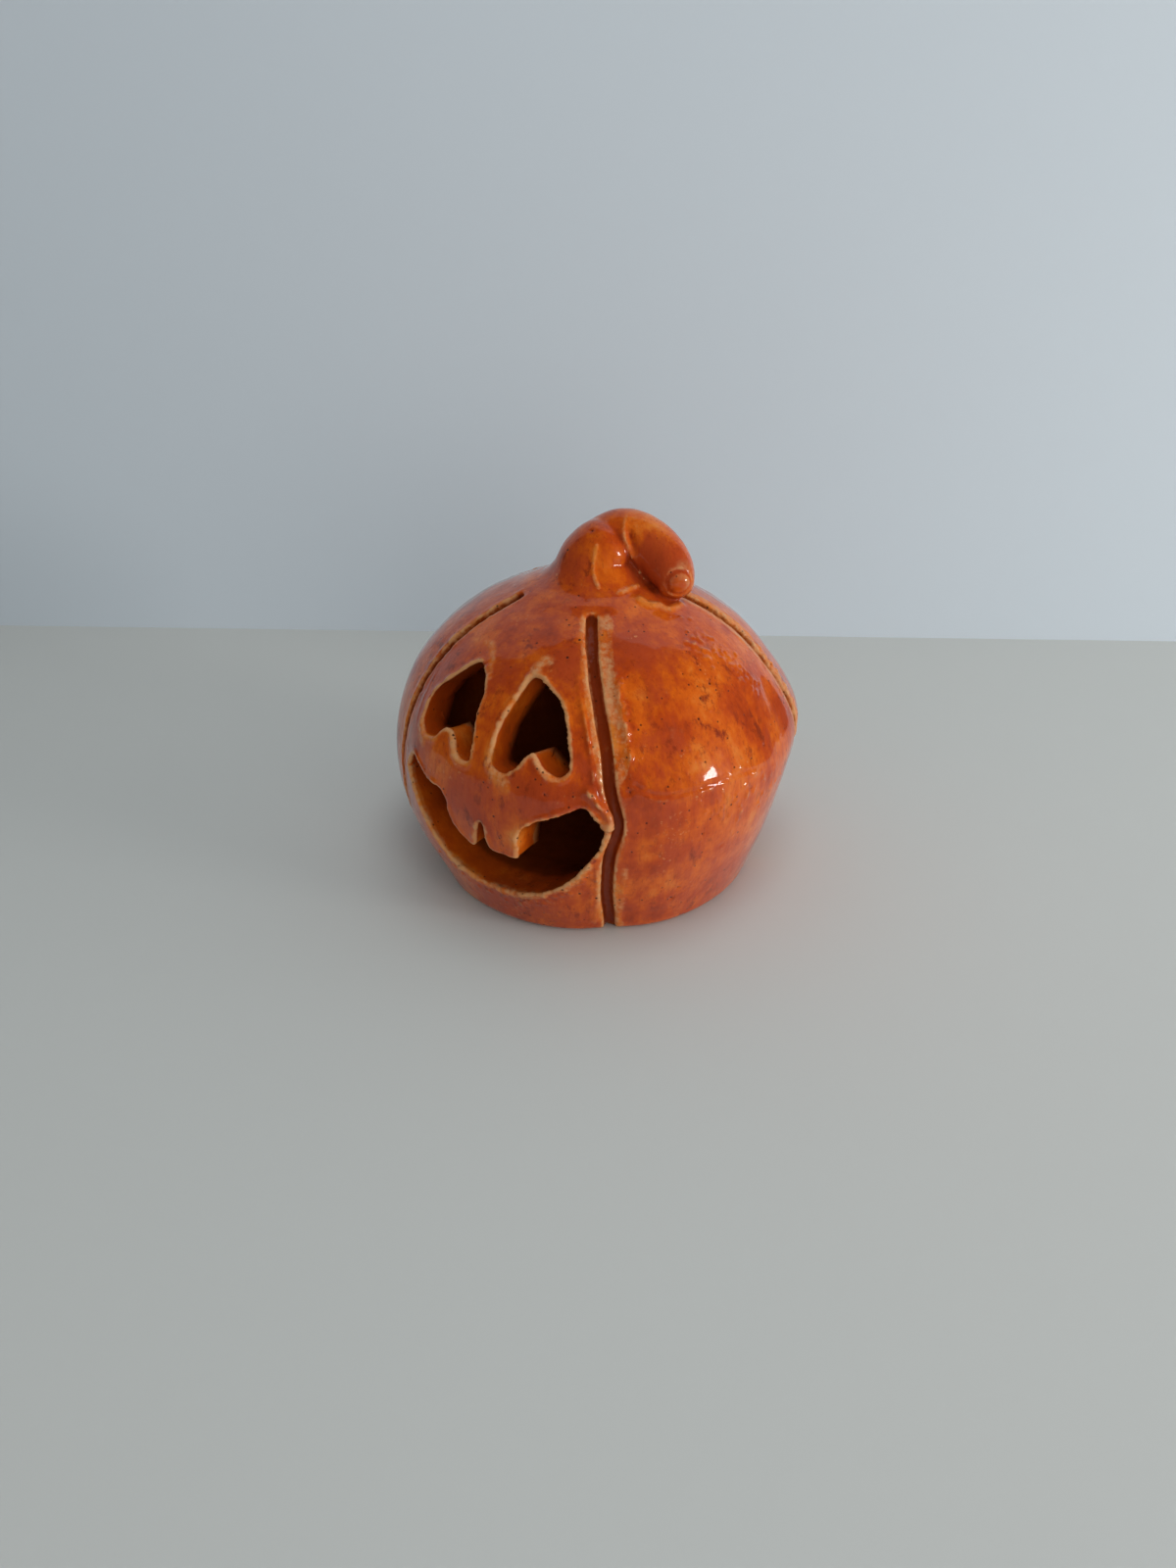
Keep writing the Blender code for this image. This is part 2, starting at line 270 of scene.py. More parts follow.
def addRoll(name, places, radii, sides, rings, outward=None, squash=None):
    # radii across the path; with outward given, squash is the radius along it instead
    deselectAll()
    bpy.ops.mesh.primitive_uv_sphere_add(segments=sides, ring_count=rings, radius=1.0)
    roll = bpy.context.object
    roll.name = name
    ball = getPoints(roll)
    lengths = np.concatenate([[0.0], np.cumsum(np.linalg.norm(np.diff(places, axis=0), axis=1))])
    ringShare = np.arccos(np.clip(ball[:, 2], -1.0, 1.0)) / math.pi
    along = ringShare * lengths[-1]
    centre = np.stack([np.interp(along, lengths, places[:, k]) for k in range(3)], axis=1)
    slopes = np.gradient(places, lengths, axis=0)
    ahead = np.stack([np.interp(along, lengths, slopes[:, k]) for k in range(3)], axis=1)
    ahead /= np.linalg.norm(ahead, axis=1)[:, None]
    if outward is None:
        upright = np.tile(np.array([0.35, -0.9, 0.2]), (len(ball), 1))
    else:
        upright = np.stack([np.interp(along, lengths, outward[:, k]) for k in range(3)], axis=1)
    side = np.cross(ahead, upright)
    side /= np.linalg.norm(side, axis=1)[:, None]
    upright = np.cross(side, ahead)
    radius = np.interp(along, lengths, radii)
    high = radius if squash is None else np.interp(along, lengths, squash)
    flat = np.maximum(np.hypot(ball[:, 0], ball[:, 1]), 1e-9)
    poles = (ringShare > 1e-4) & (ringShare < 1.0 - 1e-4)
    cosine, sine = ball[:, 0] / flat * poles, ball[:, 1] / flat * poles
    if squash is not None:  # a tool with a flat end cuts steeper sides than a round one
        cosine, sine = np.sign(cosine) * abs(cosine) ** 0.7, np.sign(sine) * abs(sine) ** 0.7
    setPoints(roll, centre + side * (cosine * radius)[:, None] + upright * (sine * high)[:, None])
    pick(roll)
    bpy.ops.object.mode_set(mode="EDIT")
    bpy.ops.mesh.select_all(action="SELECT")
    bpy.ops.mesh.normals_make_consistent(inside=False)
    bpy.ops.object.mode_set(mode="OBJECT")
    return roll


stemShape = dict(
    turn=33.0, sides=56, rings=120,
    # right, away and up as the stem's own front sees them, then the radius, in millimetres
    cone=(
        (-0.8, 0.0, 57.0, 10.2), (-0.8, -0.1, 60.0, 9.3), (-0.3, -0.2, 63.0, 8.4),
        (0.2, -0.3, 65.6, 7.5), (1.1, -0.4, 67.4, 6.7), (2.1, -0.3, 68.4, 6.2),
    ),
    roll=(
        (1.5, 1.8, 68.0, 5.6), (4.6, 1.9, 69.7, 5.5), (7.9, 1.4, 69.6, 5.4),
        (10.9, 0.0, 68.4, 5.2), (13.2, -1.8, 66.7, 5.0), (14.6, -3.5, 65.1, 4.7),
        (15.4, -5.0, 63.8, 4.2), (15.8, -6.2, 62.8, 3.6),
    ),
    bluntness=0.7, lower=0.15,
    # the web that closes the fold under the roll, set back so that the fold stays deep
    web=((3.5, 1.6, 66.0, 5.0), (7.0, 1.8, 63.6, 5.0), (10.2, 1.5, 61.2, 4.6), (12.6, 0.8, 59.4, 3.9)),
)


def roundedEnd(rows):
    # closes the last radius like half a ball
    last, ahead = rows[-1], rows[-1, :3] - rows[-2, :3]
    ahead = ahead / np.linalg.norm(ahead)
    turns = np.linspace(0.0, math.pi / 2, 10)[1:]
    places = [last[:3] + ahead * last[3] * stemShape["bluntness"] * math.sin(turn) for turn in turns]
    closing = [np.append(place, last[3] * max(math.cos(turn), 0.02)) for place, turn in zip(places, turns)]
    return np.concatenate([rows, closing])


def addStemRoll(name, route):
    rows = roundedEnd(easedPath(route, 6))
    turn = math.radians(stemShape["turn"])
    right, away = np.array([math.cos(turn), math.sin(turn), 0.0]), np.array([-math.sin(turn), math.cos(turn), 0.0])
    places = (rows[:, :1] * right + rows[:, 1:2] * away + (rows[:, 2:3] - stemShape["lower"]) * np.array([0.0, 0.0, 1.0])) * mm
    radii = rows[:, 3] * mm
    return addRoll(name, places, radii, stemShape["sides"], stemShape["rings"])


def addGrooveTool(number, restAngle):
    g, b = grooveShape, bodyShape
    topTurn = math.acos(g["topRadius"] / b["bellyRadius"])
    heights = [b["bellyHeight"] + b["domeRise"] * math.sin(topTurn * (1.0 - k / 60)) for k in range(60)]
    heights = np.array(heights + [b["bellyHeight"] * (1.0 - k / 40) for k in range(41)])
    angle = grooveAngle(restAngle, heights)
    places = onWall(angle, heights / mm)
    slope = 1.4 * np.maximum(heights - b["bellyHeight"], 0.0)
    outward = np.stack([places[:, 0], places[:, 1], slope], axis=1)
    outward /= np.linalg.norm(outward, axis=1)[:, None]
    wobble = cloud(places, 5 * mm, number)
    places = places - outward * g["sink"]
    places = np.concatenate([places, places[-1:] - np.array([[0.0, 0.0, 3.0 * mm]])])
    outward = np.concatenate([outward, outward[-1:]])
    wobble = np.append(wobble, wobble[-1])
    halfWidths = g["halfWidth"] * (1.0 + 0.12 * wobble)
    depths = g["depth"] * (1.0 + 0.12 * wobble)
    halfWidths[0] = depths[0] = 0.2 * mm
    return addRoll(f"groove{number}", places, halfWidths, 24, 160, outward, depths)


# ---- the face ----
faceShape = dict(
    leftEye=(
        (-14.0, 52.2), (-20.5, 49.6), (-27.5, 45.0), (-27.5, 40.5), (-24.5, 38.2), (-19.0, 38.6),
        (-14.5, 41.2), (-11.0, 41.2), (-8.2, 38.0), (-4.6, 37.2), (-2.4, 38.6), (-4.6, 45.5), (-6.5, 49.6),
    ),
    rightEye=(
        (10.5, 52.6), (6.6, 49.0), (4.4, 44.8), (3.6, 39.6), (5.2, 37.6), (9.4, 37.6),
        (15.5, 41.7), (19.2, 38.8), (24.0, 38.2), (25.8, 40.5), (24.2, 46.5), (20.0, 50.4),
    ),
    mouth=(
        (-31.5, 28.6), (-27.5, 24.4), (-22.5, 19.8), (-16.0, 13.6), (-8.0, 10.6), (2.0, 9.6),
        (12.0, 10.0), (20.0, 12.2), (27.0, 16.6), (32.6, 22.2), (35.2, 27.2),
        (33.2, 30.2), (30.0, 32.5), (26.0, 31.7), (20.0, 30.1), (15.2, 28.4), (12.6, 25.6),
        (11.6, 20.0), (7.4, 20.1), (3.2, 20.8), (2.4, 25.6), (1.2, 26.3), (-0.2, 24.4),
        (-1.4, 20.0), (-4.8, 20.6), (-7.8, 22.6), (-9.6, 25.0), (-10.2, 27.6), (-12.6, 29.7),
        (-18.5, 30.2), (-23.5, 31.7), (-28.0, 32.2),
    ),
    eyeTilt=14.0, outside=56 * mm, eyeInside=8 * mm, mouthInside=18 * mm, unsteady=0.35,
)


def cutLine(outline, steps):
    # the line that the knife really took, a little unsteady
    rows = easedPath(outline, steps, closed=True)
    places = onWall(rows[:, 0], rows[:, 1])
    unsteady = faceShape["unsteady"]
    rows[:, 0] += unsteady / 0.7 * cloud(places, 3.0 * mm, 9)
    rows[:, 1] += unsteady * cloud(places, 3.0 * mm, 10)
    return onWall(rows[:, 0], rows[:, 1])


def addKnife(name, outline, inside, tilt):
    # an outline on the wall, carried through it along the knife
    places = cutLine(outline, 4)
    lean = math.radians(tilt)
    along = np.array([0.0, math.cos(lean), -math.sin(lean)])
    near = places + along * (-faceShape["outside"] - places @ along)[:, None]
    deselectAll()
    bpy.ops.mesh.primitive_circle_add(vertices=len(places), fill_type="NGON", radius=1.0)
    knife = bpy.context.object
    knife.name = name
    setPoints(knife, near)
    bpy.ops.object.mode_set(mode="EDIT")
    bpy.ops.mesh.select_all(action="SELECT")
    length = faceShape["outside"] - inside
    bpy.ops.mesh.extrude_region_move(TRANSFORM_OT_translate={"value": tuple(along * length)})
    bpy.ops.mesh.select_all(action="SELECT")
    bpy.ops.mesh.normals_make_consistent(inside=False)
    bpy.ops.object.mode_set(mode="OBJECT")
    return knife


def useBoolean(obj, tool, operation):
    useModifier(obj, "BOOLEAN", object=tool, operation=operation, solver="EXACT")
    bpy.data.objects.remove(tool)


print("body, stem and hollow")
pumpkin = addBody()
for name in ("cone", "web", "roll"):
    useBoolean(pumpkin, addStemRoll(name, stemShape[name]), "UNION")
pumpkin.data.update()
skin = bvhtree.BVHTree.FromPolygons(
    [v.co.copy() for v in pumpkin.data.vertices], [tuple(p.vertices) for p in pumpkin.data.polygons])
useBoolean(pumpkin, addHollow(), "DIFFERENCE")
print("grooves and face")
for number, restAngle in enumerate(grooveShape["angles"], 1):
    useBoolean(pumpkin, addGrooveTool(number, restAngle), "DIFFERENCE")
f = faceShape
useBoolean(pumpkin, addKnife("leftEye", f["leftEye"], f["eyeInside"], f["eyeTilt"]), "DIFFERENCE")
useBoolean(pumpkin, addKnife("rightEye", f["rightEye"], f["eyeInside"], f["eyeTilt"]), "DIFFERENCE")
useBoolean(pumpkin, addKnife("mouth", f["mouth"], f["mouthInside"], 0.0), "DIFFERENCE")

# ---- one skin over it all, fine enough for small marks ----
clayMesh = dict(voxel=0.42 * mm, smoothing=3, most=192000)
print("clay")
useModifier(pumpkin, "REMESH", mode="VOXEL", voxel_size=clayMesh["voxel"], use_smooth_shade=True)
useModifier(pumpkin, "SMOOTH", factor=0.5, iterations=clayMesh["smoothing"])

# ---- marks of hand and tool ----
# widths and lifts in millimetres; the bare value is how far the glaze has drawn off the clay, and for the pale streak
# down the stem it is a painted highlight
grooveSides = dict(
    # one value for each groove: width of the worn strip beside it, how worn that is, how worn its floor is
    strip=(2.2, 3.1, 1.7, 2.0, 1.6), worn=(1.10, 1.00, 0.75, 0.80, 0.90), floorWorn=(0.0, 1.05, 0.25, 0.20, 0.0),
    ridgeLeft=dict(at=-2.9, spread=0.45, lift=0.46), shoulderRight=dict(at=4.1, spread=0.55, lift=0.44),
)
rimMarks = dict(bare=1.15, burr=0.26, burrAt=0.6, burrSpread=0.45, eyeBare=0.85, lowerLipBare=1.7, upperLipBare=0.55)
# each mark runs along a line of (angle, height) on the wall
wallMarks = (
    # the burr between the corner of the mouth and the first groove
    dict(line=((31.0, 35.8), (32.4, 34.2), (34.4, 32.6), (36.0, 30.8), (36.4, 28.4)), width=0.75, lift=0.85, bare=0.25),
    dict(line=((32.2, 31.6), (33.8, 30.2), (34.6, 28.6)), width=0.50, lift=0.45, bare=0.30),
    dict(line=((33.4, 18.0), (33.4, 10.0), (33.0, 2.5)), width=0.32, lift=0.26, bare=0.6),
    dict(line=((32.0, 16.0), (31.8, 9.0), (31.9, 3.0)), width=0.30, lift=0.18, bare=0.4),
    dict(line=((41.0, 18.0), (40.8, 10.0), (40.2, 3.0)), width=0.60, lift=0.20, bare=0.7),
    # the patted panel's crease
    dict(line=((43.2, 36.6), (46.0, 35.2), (49.5, 34.3), (56.6, 34.0), (64.9, 34.3)), width=0.38, lift=-0.34, bare=0.0),
    dict(line=((64.9, 34.3), (70.0, 34.3), (76.6, 33.7), (86.0, 32.2)), width=0.34, lift=-0.26, bare=0.0),
    dict(line=((44.6, 35.0), (49.5, 33.5), (56.6, 33.2), (64.9, 33.5)), width=0.40, lift=0.24, bare=0.15),
    dict(line=((68.0, 33.4), (76.6, 32.8), (84.0, 31.8)), width=0.40, lift=0.16, bare=0.12),
    # where the knife ran on past the eyes' corners
    dict(line=((-6.8, 51.0), (-11.0, 53.4), (-15.5, 54.6), (-20.0, 54.6)), width=0.60, lift=0.10, bare=1.05),
    dict(line=((10.0, 53.2), (12.0, 54.6), (14.0, 54.6)), width=0.75, lift=0.08, bare=1.2),
    dict(line=((5.6, 36.6), (8.6, 36.0), (9.4, 35.0)), width=0.90, lift=0.16, bare=1.25),
    dict(line=((-28.6, 39.6), (-27.0, 37.6), (-23.0, 36.6)), width=0.80, lift=0.18, bare=1.25),
    dict(line=((-35.0, 33.0), (-33.0, 30.5), (-31.0, 27.0)), width=0.50, lift=0.15, bare=0.4),
    dict(line=((-34.5, 47.0), (-33.0, 42.0), (-31.0, 37.5)), width=0.35, lift=0.14, bare=0.25),
)
# and each of these along a line of points on the stem, in millimetres
stemMarks = (
    # the seam, the flap and the open edge of the fold
    dict(line=((5.0, 4.0, 75.6), (5.4, 3.2, 75.3), (5.9, 1.5, 74.0), (6.2, 0.4, 72.6)), width=0.40, lift=0.42, bare=0.80),
    dict(line=((6.5, 0.1, 71.9), (6.9, 0.0, 70.8), (7.3, 0.1, 69.7), (8.2, 0.5, 67.6)), width=0.55, lift=0.90, bare=0.60),
    dict(line=((7.5, 0.6, 72.0), (8.0, 0.6, 70.6), (8.8, 1.2, 68.6)), width=0.55, lift=-0.60, bare=0.0),
    dict(line=((8.2, 0.5, 67.6), (9.0, 1.2, 65.4), (10.3, 2.6, 62.6), (12.2, 2.4, 61.2)), width=0.45, lift=0.35, bare=0.20),
    # a raised streak down the front of the stem, painted pale as its highlight
    dict(line=((3.5, -4.9, 70.3), (3.6, -6.1, 67.7), (4.1, -6.9, 65.3), (5.8, -7.8, 63.1)), width=0.28, lift=0.36, bare=1.50),
    # the foot of the stem, and the ridge under its tip
    dict(line=((9.3, -6.1, 62.1), (10.0, -3.8, 62.3), (10.5, -1.2, 62.4)), width=0.45, lift=0.34, bare=1.2),
    dict(line=((12.9, -4.1, 61.0), (14.6, -3.6, 60.2), (16.0, -1.8, 59.7), (17.7, -0.6, 58.9), (17.8, 3.0, 58.8)),
         width=0.80, lift=0.60, bare=1.10),
)
stemCap = dict(  # the pressed ring round the rounded tip
    middle=(18.6, 1.3, 63.7), radius=2.6, width=0.32, dent=0.34, bare=0.80,
)
blushes = (  # angle, height, size, and how red; below 0 the glaze is thin there
    (52.0, 57.0, 5.0, 0.9), (83.0, 44.5, 2.6, 0.5), (90.0, 36.5, 3.2, 0.6), (106.0, 36.0, 3.0, 0.6),
    (51.5, 30.0, 3.0, 0.6), (53.0, 21.5, 3.2, 0.8), (60.0, 21.0, 2.6, 0.5), (-31.0, 51.5, 5.0, 0.7),
    # the patch at 12.2, 24.0 is no thin glaze but painted light: it lightens the lit side of the tooth
    (-30.0, 38.0, 2.6, 0.6), (22.0, 54.5, 3.4, 0.9), (-5.0, 31.0, 5.0, 0.7), (16.0, 34.0, 4.0, 0.6), (25.0, 34.6, 4.0, 1.0), (29.0, 40.0, 3.0, 0.7), (12.2, 24.0, 3.6, -1.3),
    (-3.0, 5.0, 5.0, 0.5), (46.6, 24.5, 1.6, -0.7), (46.8, 21.0, 1.5, -0.6), (50.5, 10.3, 1.2, -0.6),
    (49.5, 46.0, 3.6, -0.35), (48.5, 41.0, 3.0, -0.3), (26.0, 48.0, 4.0, -0.25), (68.0, 27.0, 3.0, -0.2),
    (140.0, 48.0, 5.0, 0.7), (165.0, 20.0, 5.0, 0.6), (205.0, 44.0, 4.0, 0.8), (228.0, 30.0, 5.0, 0.5),
    (275.0, 50.0, 5.0, 0.7), (290.0, 22.0, 4.0, 0.6), (150.0, 34.0, 2.5, -0.5), (240.0, 52.0, 3.0, -0.5),
)
stemBlushes = (  # right, towards the back and up in millimetres, size, and how red
    # the patch at 9.8, 1.6, 64.6 lies in the fold under the roll: glaze pooled there, and painted shade
    (13.5, 1.0, 67.0, 5.0, 1.2), (9.8, 1.6, 64.6, 3.2, 1.4), (7.2, -3.8, 66.0, 2.6, -0.55),
    (17.6, -4.0, 58.8, 1.8, -0.6), (-2.0, -3.5, 66.0, 5.0, 0.6), (4.0, 6.0, 68.0, 5.0, 0.7),
)
# clear amber glaze in the middle of the patted panel, milky streaks beside it, grains along its upper edge
amber = dict(angle=75.5, height=44.0, halfAngle=14.0, halfHeight=8.5, soft=0.30)
milk = dict(angle=52.5, height=47.0, halfAngle=6.5, halfHeight=7.5, soft=0.45)
grains = (  # line of (angle, height), how far they stray, how many
    dict(line=((78.0, 53.2), (84.0, 54.6), (89.0, 53.6), (92.0, 50.6), (93.5, 46.5)), stray=1.6, count=70),
    dict(line=((42.4, 52.5), (42.3, 49.0), (42.1, 45.0), (42.0, 41.0)), stray=0.25, count=26),
    dict(line=((66.0, 30.0), (78.0, 29.4), (92.0, 27.0)), stray=2.4, count=50),
    dict(line=((-20.0, 12.6), (-8.0, 8.8), (8.0, 8.2), (22.0, 11.4), (31.0, 17.0)), stray=1.0, count=60),
    dict(line=((118.0, 56.0), (117.6, 50.0), (117.2, 44.0), (117.0, 36.0)), stray=0.7, count=50),
)
grainShape = dict(smallest=0.26, largest=0.48, lift=0.36)
pits = (  # angle, height, radius
    (75.2, 49.5, 0.35), (41.8, 35.3, 0.30), (79.2, 29.5, 0.28), (58.0, 10.8, 0.28), (56.4, 8.0, 0.32),
    (30.7, 16.2, 0.22), (66.0, 52.0, 0.22), (50.0, 21.0, 0.22), (88.0, 36.0, 0.25), (20.0, 35.0, 0.22),
    (44.6, 53.0, 0.22), (43.2, 47.0, 0.20), (62.0, 24.0, 0.22), (70.0, 19.0, 0.24), (84.0, 24.0, 0.22),
)
stemPits = ((10.6, 1.6, 71.7, 0.55), (1.4, -3.4, 72.6, 0.30), (5.0, -11.0, 61.6, 0.28), (8.2, -4.6, 70.0, 0.2))


def neighbourSums(edges, values, count):
    total = np.zeros((count,) + values.shape[1:])
    np.add.at(total, edges[:, 0], values[edges[:, 1]])
    np.add.at(total, edges[:, 1], values[edges[:, 0]])
    return total


def evened(edges, values, rounds):
    count = np.bincount(edges.ravel(), minlength=len(values)).astype(float)
    for step in range(rounds):
        values = 0.5 * values + 0.5 * neighbourSums(edges, values, len(values)) / np.maximum(count, 1.0)
    return values


def getEdges(obj):
    flat = np.empty(len(obj.data.edges) * 2, np.int32)
    obj.data.edges.foreach_get("vertices", flat)
    return flat.reshape(-1, 2)


def outwardBend(obj, rounds):
    # above 0 on ridges and edges, below 0 in creases, in turns per millimetre
    points, normals, edges = getPoints(obj), getNormals(obj), getEdges(obj)
    step = points[edges[:, 1]] - points[edges[:, 0]]
    turned = ((normals[edges[:, 1]] - normals[edges[:, 0]]) * step).sum(axis=1)
    bend = turned / np.maximum((step * step).sum(axis=1), 1e-12) * mm
    total = np.bincount(edges.ravel(), np.repeat(bend, 2), len(points))
    count = np.bincount(edges.ravel(), minlength=len(points))
    return evened(edges, total / np.maximum(count, 1), rounds)


def depthUnderSkin(points):
    return np.array([skin.find_nearest(Vector(p))[3] for p in points])


def nearLine(points, line, reach):
    # distance in millimetres to a line of points, where it is within reach, else that reach
    line = easedPath(line, 12)
    distance = np.full(len(points), reach)
    low, high = line.min(axis=0) - reach * mm, line.max(axis=0) + reach * mm
    close = np.flatnonzero(((points > low) & (points < high)).all(axis=1))
    if len(close):
        gaps = np.linalg.norm(points[close][:, None, :] - line[None, :, :], axis=2).min(axis=1) / mm
        distance[close] = np.minimum(gaps, reach)
    return distance


def acrossGrooves(angle, height, radius):
    # millimetres from the middle of the nearest groove, above 0 on its +angle side, and which one it is
    best, which = np.full(len(angle), 99.0), np.zeros(len(angle), int)
    for number, restAngle in enumerate(grooveShape["angles"]):
        off = turnBetween(angle, grooveAngle(restAngle, height))
        across = np.where(abs(off) < 80.0, radius / mm * np.sin(np.radians(off)), 99.0)
        closer = abs(across) < abs(best)
        best, which = np.where(closer, across, best), np.where(closer, number, which)
    return best, which


def rimLines():
    # points along the three cut edges, and how wide the glaze draws off there
    lines, widths = [], []
    for name in ("leftEye", "rightEye", "mouth"):
        line = cutLine(faceShape[name], 8)
        lower = smoothStep(11.6, 10.4, np.arange(len(line)) / 8)
        lip = rimMarks["upperLipBare"] + (rimMarks["lowerLipBare"] - rimMarks["upperLipBare"]) * lower
        lines.append(line)
        widths.append(lip if name == "mouth" else np.full(len(line), rimMarks["eyeBare"]))
    return np.concatenate(lines), np.concatenate(widths)


def toRims(points):
    rim, bare = rimLines()
    tree = kdtree.KDTree(len(rim))
    for index, place in enumerate(rim):
        tree.insert(Vector(place), index)
    tree.balance()
    distance, width = np.empty(len(points)), np.empty(len(points))
    for index, point in enumerate(points):
        place, nearest, gap = tree.find(Vector(point))
        distance[index], width[index] = gap / mm, bare[nearest]
    return distance, width


def window(value, low, high, soft):
    return smoothStep(low - soft, low + soft, value) * smoothStep(high + soft, high - soft, value)


def inPatch(patch, angle, height, ragged):
    # 1 in the middle of an oval patch, fading at its uneven edge
    across = turnBetween(angle, patch["angle"]) / patch["halfAngle"]
    up = (height / mm - patch["height"]) / patch["halfHeight"]
    reach = np.sqrt(across * across + up * up) + 0.22 * ragged
    return smoothStep(1.0 + patch["soft"], 1.0 - patch["soft"], reach)


def spots(points, places, sizes):
    # how far each point is up the nearest of many small round spots, 1 at its middle
    tree = kdtree.KDTree(len(places))
    for index, place in enumerate(places):
        tree.insert(Vector(place), index)
    tree.balance()
    height = np.zeros(len(points))
    low, high = places.min(axis=0) - 1.0 * mm, places.max(axis=0) + 1.0 * mm
    for number in np.flatnonzero(((points > low) & (points < high)).all(axis=1)):
        place, index, gap = tree.find(Vector(points[number]))
        height[number] = math.exp(-((gap / mm / sizes[index]) ** 2))
    return height


def grainLift(points):
    chance = np.random.default_rng(11)
    lift = np.zeros(len(points))
    for band in grains:
        line = easedPath(band["line"], 12)
        chosen = line[chance.integers(0, len(line), band["count"])]
        chosen = chosen + chance.normal(0.0, 1.0, chosen.shape) * band["stray"] * np.array([1.4, 1.0])
        sizes = chance.uniform(grainShape["smallest"], grainShape["largest"], band["count"])
        lift = np.maximum(lift, spots(points, onWall(chosen[:, 0], chosen[:, 1]), sizes))
    return lift


def keptInside(points):
    # no point outside the frame's box for the piece
    low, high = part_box("pumpkin_lantern")
    return np.clip(points, np.array(low) + 0.02 * mm, np.array(high) - 0.02 * mm)


def markClay(obj):
    points, normals = getPoints(obj), getNormals(obj)
    angle, height = anglesOf(points), points[:, 2]
    radius = np.hypot(points[:, 0], points[:, 1])
    depth = depthUnderSkin(points) / mm
    outside = smoothStep(0.9, 0.3, depth)
    onBody = outside * smoothStep(13.5 * mm, 16.0 * mm, radius)
    across, which = acrossGrooves(angle, height, radius)
    across = np.where((radius > 14.2 * mm) & (height < 61.5 * mm), across, 99.0)
    front = (which == 0).astype(float)
    broad, middle, small = cloud(points, 15 * mm, 1), cloud(points, 5 * mm, 2), cloud(points, 1.6 * mm, 3)
    broken = np.clip(0.75 + 0.9 * small, 0.1, 1.5)
    uneven = 0.45 * middle + 0.35 * small
    g, h = grooveSides, height / mm
    strip, worn, floorWorn = (np.array(g[name])[which] for name in ("strip", "worn", "floorWorn"))

    lift = 0.22 * broad + 0.08 * middle + 0.025 * small * outside
    # worn strips beside the grooves; the first has a wide one up its right side
    wide = 1.1 + 2.8 * smoothStep(34.5, 41.0, h) + 1.2 * smoothStep(20.0, 12.0, h)
    right = window(across, 0.9, wide + uneven, 0.55) * smoothStep(0.9, 1.6, wide)
    left = window(across, -strip - uneven, -0.9, 0.50) * smoothStep(33.0, 40.0, h)
    foot = window(across, -2.0 - uneven, -0.9, 0.50) * smoothStep(20.0, 14.0, h)
    bare = front * np.maximum.reduce([right, left, foot]) * worn
    others = window(across, 0.9, strip + uneven, 0.35) + window(across, -strip - uneven, -0.9, 0.35)
    bare = np.maximum(bare, (1.0 - front) * others * worn) * smoothStep(14.2, 17.0, radius / mm + 0.8 * uneven)
    ridge, shoulder = g["ridgeLeft"], g["shoulderRight"]
    lift += front * onBody * ridge["lift"] * broken * bump(across, ridge["at"], ridge["spread"]) * window(h, 31, 52, 3)
    raised = bump(across, shoulder["at"], shoulder["spread"]) * window(h, 39, 54, 3)
    lift += front * onBody * shoulder["lift"] * broken * raised
    lift -= front * onBody * 0.14 * window(across, 1.3, 3.3, 0.5) * window(h, 38, 58, 3)
    lift += (1.0 - front) * onBody * 0.16 * broken * (bump(across, -strip, 0.6) + bump(across, strip, 0.6))

    # burrs that the knife pushed up round the face
    rimGap, rimBare = toRims(points)
    lift += outside * rimMarks["burr"] * broken * bump(rimGap, rimMarks["burrAt"], rimMarks["burrSpread"])
    rimBand = smoothStep(rimBare * (1.35 + 0.8 * middle + 0.6 * small), rimBare * 0.2, rimGap)
    bare = np.maximum(bare, rimBand * rimMarks["bare"])

    for mark in wallMarks:
        line = onWall([place[0] for place in mark["line"]], [place[1] for place in mark["line"]])
        gap = nearLine(points, line, 4.0)
        lift += mark["lift"] * bump(gap, 0.0, mark["width"]) * outside * broken
        bare = np.maximum(bare, mark["bare"] * bump(gap, 0.0, mark["width"] * 1.5) * outside)
    for mark in stemMarks:
        gap = nearLine(points, np.array(mark["line"]) * mm, 4.0)
        lift += mark["lift"] * bump(gap, 0.0, mark["width"]) * outside * (0.6 + 0.4 * broken)
        bare = np.maximum(bare, mark["bare"] * bump(gap, 0.0, mark["width"] * 1.3) * outside)
    fromCap = np.linalg.norm(points - np.array(stemCap["middle"]) * mm, axis=1) / mm
    lift -= stemCap["dent"] * bump(fromCap, stemCap["radius"], stemCap["width"])
    bare = np.maximum(bare, stemCap["bare"] * broken * bump(fromCap, stemCap["radius"] + 0.45, stemCap["width"]) * outside)
    grain = grainLift(points) * outside
    lift += grainShape["lift"] * grain
    bare = np.maximum(bare, 0.45 * grain)
    hole = np.zeros(len(points))
    holes = [(onWall([a], [z])[0], size) for a, z, size in pits]
    holes += [(np.array(place) * mm, size) for *place, size in stemPits]
    for place, size in holes:
        hole = np.maximum(hole, bump(np.linalg.norm(points - place, axis=1) / mm, 0.0, size))
    lift -= 0.45 * hole
    # the floor of each groove keeps the lines of the tool
    reach, under = np.where(which == 0, 1.15, 1.5), np.where(which == 0, 0.35, 0.22)
    inGroove = window(across, -reach, reach, 0.2) * window(depth, under, 3.0, 0.15) * smoothStep(13.0 * mm, 15.0 * mm, radius)
    lift += 0.08 * inGroove * np.cos(across * 2.0 * math.pi / 0.62)
    bare = np.maximum(bare, inGroove * floorWorn * (0.8 + 0.6 * uneven))
